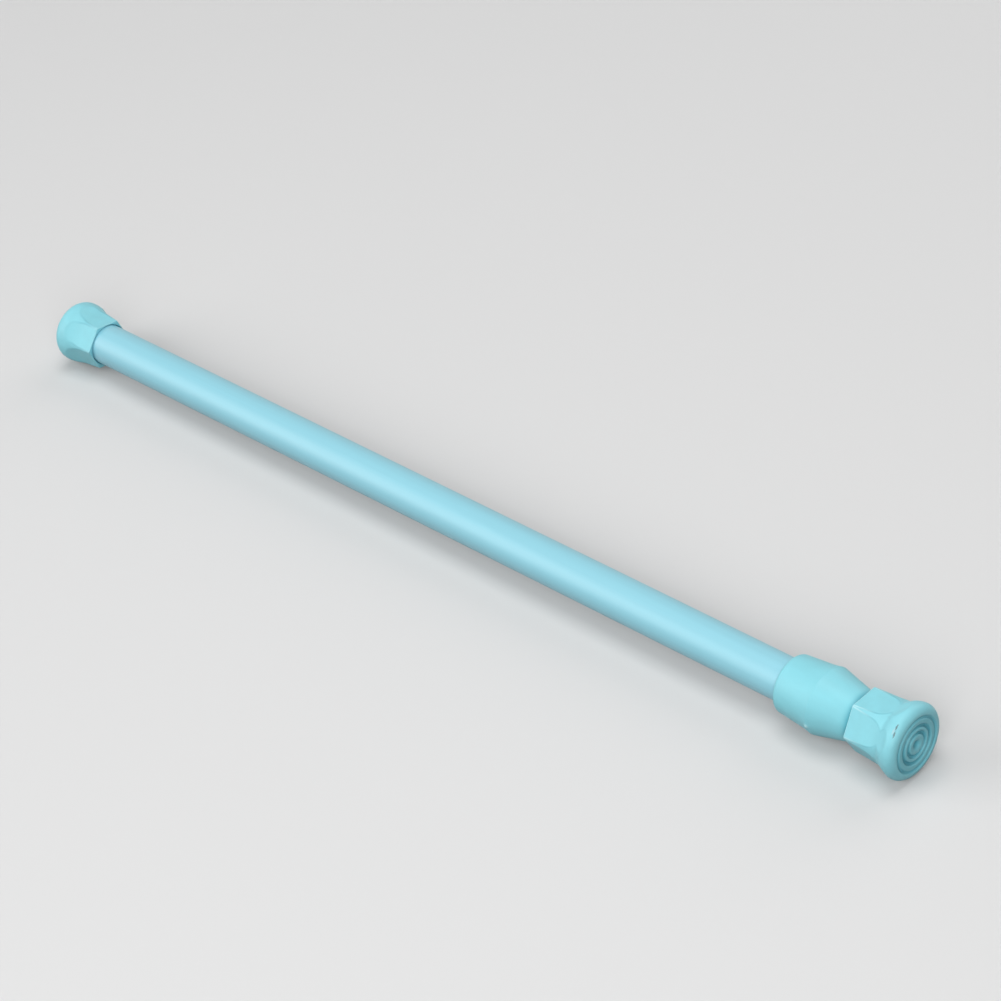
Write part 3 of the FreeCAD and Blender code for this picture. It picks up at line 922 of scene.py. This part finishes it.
def floor_finish(colour, setup):
    """Plain pale matt floor that throws back less light than it shows and fades into the backdrop."""
    finish = Finish("stage_floor", colour, roughness=0.9, specular=0.1)
    seen = seen_ray(finish.tree)
    dimmed = [setup.floor_return * one for one in colour]
    finish.feed("Base Color", finish.mix(seen, dimmed, colour))
    away = finish.nodes.new("ShaderNodeVectorMath")
    away.operation = "DISTANCE"
    away.inputs[1].default_value = ROD_MIDDLE
    finish.links.new(finish.place, away.inputs[0])
    fade = finish.nodes.new("ShaderNodeMapRange")
    fade.interpolation_type = "SMOOTHSTEP"
    fade.inputs["From Min"].default_value = setup.floor_fade[0]
    fade.inputs["From Max"].default_value = setup.floor_fade[1]
    finish.links.new(away.outputs["Value"], fade.inputs["Value"])
    backdrop = finish.nodes.new("ShaderNodeEmission")
    backdrop.inputs["Strength"].default_value = setup.backdrop
    blend = finish.nodes.new("ShaderNodeMixShader")
    far = combined(finish.tree, "MULTIPLY", fade.outputs["Result"], seen)
    finish.links.new(far, blend.inputs[0])
    finish.links.new(finish.shader.outputs["BSDF"], blend.inputs[1])
    finish.links.new(backdrop.outputs["Emission"], blend.inputs[2])
    finish.links.new(blend.outputs["Shader"], finish.nodes["Material Output"].inputs["Surface"])
    return finish.material


def finishes(colours):
    """All the finishes of the rod by slot, made once."""
    slots = ("tube_film", "foot_rubber", "collar_plastic", "lock_nylon", "bright_steel", "spring_steel")
    if "tube_film_finish" not in bpy.data.materials:
        film_finish(colours)
        rubber_finish(colours)
        collar_finish(colours)
        nylon_finish(colours)
        drawn_lines = (25 * MM, 0.3 * MM, 0.3 * MM)
        steel_finish("bright_steel_finish", colours.bright_steel, roughness=0.28, lines=drawn_lines)
        steel_finish("spring_steel_finish", colours.spring_steel, roughness=0.36, lines=(0.5 * MM,) * 3)
    return {slot: bpy.data.materials[slot + "_finish"] for slot in slots}


# Operators


def facing(place, aim):
    """The matrix of a lamp or camera that stands at a place and looks at an aim."""
    return Matrix.Translation(place) @ (aim - place).to_track_quat("-Z", "Y").to_matrix().to_4x4()


class RodOperator:
    """What the operators share."""

    bl_options = {"REGISTER", "UNDO"}


class TENSION_ROD_OT_tubes(bpy.types.Operator, RodOperator):
    """Makes the two film-covered steel tubes"""

    bl_idname = "tension_rod.tubes"
    bl_label = "Tubes"

    def execute(self, context):
        properties = context.scene.tension_rod
        film = finishes(properties.colours)["tube_film"]
        rows = (
            ("film_outer_tube", "outer_tube", "outer", OUTER_TUBE_START, OUTER_TUBE_END, OUTER_TUBE_RADIUS),
            ("film_inner_tube", "inner_tube", "inner", INNER_TUBE_START, INNER_TUBE_END, INNER_TUBE_RADIUS),
        )
        for name, node, body, start, end, radius in rows:
            piece = skin(name, tube_points(start, end, radius, properties.tubes), loop=True)
            dress(piece, node, body, film)
        return {"FINISHED"}


class TENSION_ROD_OT_feet(bpy.types.Operator, RodOperator):
    """Makes the two rubber feet with their flats and ringed faces"""

    bl_idname = "tension_rod.feet"
    bl_label = "Feet"

    def execute(self, context):
        properties = context.scene.tension_rod
        rubber = finishes(properties.colours)["foot_rubber"]
        outer, outer_marks = foot_points(
            properties.outer_foot, OUTER_MOUTH - OUTER_FACE, OUTER_FLANGE_RADIUS, OUTER_TUBE_RADIUS)
        outer[..., 0] += OUTER_FACE
        inner, inner_marks = foot_points(
            properties.inner_foot, INNER_FACE - INNER_MOUTH, INNER_FLANGE_RADIUS, INNER_TUBE_RADIUS)
        inner[..., 0] = INNER_FACE - inner[..., 0]
        outer_foot = skin("rubber_outer_foot", outer, marks=outer_marks)
        inner_marks.update(scuff_marks(properties.inner_foot, inner))
        inner_foot = skin("rubber_inner_foot", inner, marks=inner_marks)
        dress(outer_foot, "outer_foot", "outer", rubber)
        dress(inner_foot, "inner_foot", "inner", rubber)
        return {"FINISHED"}


class TENSION_ROD_OT_collar(bpy.types.Operator, RodOperator):
    """Makes the tapered collar"""

    bl_idname = "tension_rod.collar"
    bl_label = "Collar"

    def execute(self, context):
        properties = context.scene.tension_rod
        points, marks = collar_points(properties.collar)
        piece = skin("moulded_collar", points, loop=True, marks=marks)
        dress(piece, "collar", "outer", finishes(properties.colours)["collar_plastic"])
        return {"FINISHED"}


class TENSION_ROD_OT_lock(bpy.types.Operator, RodOperator):
    """Makes the threaded lock rod and the push spring, and finishes the other pieces of the lock"""

    bl_idname = "tension_rod.lock"
    bl_label = "Lock"

    def execute(self, context):
        properties = context.scene.tension_rod
        slots = finishes(properties.colours)
        rod = skin("threaded_lock_rod", rod_points(properties.lock))
        dress(rod, "lock_rod", "rod", slots["bright_steel"])
        spring = skin("wound_push_spring", spring_points(properties.lock))
        dress(spring, "push_spring", "inner", slots["spring_steel"])
        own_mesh(spring)
        for subpart in frame["record"]["subparts"]:
            node = frame["nodes"][subpart["node"]]
            if not node.hide_render:
                node.data.materials.clear()
                node.data.materials.append(slots[subpart["material_slot"]])
        return {"FINISHED"}


class TENSION_ROD_OT_stage(bpy.types.Operator, RodOperator):
    """Sets the floor, the lamps, the backdrop and the camera"""

    bl_idname = "tension_rod.stage"
    bl_label = "Stage"

    def execute(self, context):
        properties = context.scene.tension_rod
        setup = properties.stage
        self.lay_floor(setup, floor_finish(properties.colours.floor, setup))
        middle = Vector(ROD_MIDDLE)
        powers = (setup.key_power, setup.side_power, setup.top_power, setup.back_power)
        for (name, place, width), power in zip(LAMPS, powers):
            self.hang_lamp(name + "_lamp", middle + Vector(place), middle, width, power)
        self.light_sky(context.scene, setup)
        self.set_camera(context.scene, setup)
        context.scene.view_settings.view_transform = "Standard"
        return {"FINISHED"}

    def lay_floor(self, setup, finish):
        """A sheet of quads under the feet."""
        points = floor_points(setup)
        rows, columns = points.shape[:2]
        here = np.arange(rows * columns).reshape(rows, columns)
        quads = np.stack([here[:-1, :-1], here[1:, :-1], here[1:, 1:], here[:-1, 1:]], axis=-1)
        mesh = bpy.data.meshes.new("stage_floor")
        mesh.from_pydata(points.reshape(-1, 3).tolist(), [], quads.reshape(-1, 4).tolist())
        mesh.materials.append(finish)
        floor = placed("stage_floor", mesh)

    def hang_lamp(self, name, place, aim, width, power):
        """A square soft lamp that the camera doesn't see."""
        lamp = bpy.data.lights.new(name, "AREA")
        lamp.size = width
        lamp.energy = power
        holder = placed(name, lamp)
        holder.matrix_world = facing(place, aim)
        holder.visible_camera = False

    def light_sky(self, scene, setup):
        """Even light from all round, and a pale backdrop for what the camera and gloss see of it."""
        scene.world = bpy.data.worlds.new("studio")
        scene.world.use_nodes = True
        tree = scene.world.node_tree
        sky = tree.nodes["Background"]
        sky.inputs["Color"].default_value = (1.0, 1.0, 1.0, 1.0)
        strength = tree.nodes.new("ShaderNodeMapRange")
        strength.inputs["To Min"].default_value = setup.sky
        strength.inputs["To Max"].default_value = setup.backdrop
        tree.links.new(seen_ray(tree), strength.inputs["Value"])
        tree.links.new(strength.outputs["Result"], sky.inputs["Strength"])

    def set_camera(self, scene, setup):
        """A camera that looks from its place at its aim and is then turned about its line of sight."""
        camera = bpy.data.cameras.new("camera")
        camera.sensor_width = setup.sensor
        camera.lens = setup.lens
        holder = placed("camera", camera)
        look = facing(Vector(setup.camera_place), Vector(setup.camera_aim))
        holder.matrix_world = look @ Matrix.Rotation(setup.camera_roll, 4, "Z")
        scene.camera = holder


class TENSION_ROD_PT_sidebar(bpy.types.Panel):
    """Lists the rod's sizes, colours and operators"""

    bl_idname = "TENSION_ROD_PT_sidebar"
    bl_label = "Tension rod"
    bl_space_type = "VIEW_3D"
    bl_region_type = "UI"
    bl_category = "Tension rod"

    def draw(self, context):
        properties = context.scene.tension_rod
        for operator in OPERATORS:
            self.layout.operator(operator.bl_idname)
        for group in ("tubes", "outer_foot", "inner_foot", "collar", "lock", "colours", "stage"):
            box = self.layout.box()
            box.label(text=group.replace("_", " ").capitalize())
            values = getattr(properties, group)
            for name in values.bl_rna.properties.keys():
                if name not in ("rna_type", "name"):
                    box.prop(values, name)


GROUPS = (
    TubeShape,
    OuterFootShape,
    InnerFootShape,
    CollarShape,
    LockShape,
    FinishColours,
    StageSetup,
    RodProperties,
)
OPERATORS = (
    TENSION_ROD_OT_tubes,
    TENSION_ROD_OT_feet,
    TENSION_ROD_OT_collar,
    TENSION_ROD_OT_lock,
    TENSION_ROD_OT_stage,
)


def register():
    """Registers the groups, operators and panel, and gives the scene its properties."""
    for each in (*GROUPS, *OPERATORS, TENSION_ROD_PT_sidebar):
        bpy.utils.register_class(each)
    bpy.types.Scene.tension_rod = PointerProperty(type=RodProperties)


def unregister():
    """Takes the properties off the scene and unregisters the classes."""
    del bpy.types.Scene.tension_rod
    for each in reversed((*GROUPS, *OPERATORS, TENSION_ROD_PT_sidebar)):
        bpy.utils.unregister_class(each)


def main():
    """Builds the dressed rod and its stage."""
    register()
    bpy.ops.tension_rod.tubes()
    bpy.ops.tension_rod.feet()
    bpy.ops.tension_rod.collar()
    bpy.ops.tension_rod.lock()
    bpy.ops.tension_rod.stage()
    bpy.context.view_layer.update()


if __name__ == "__main__":
    main()
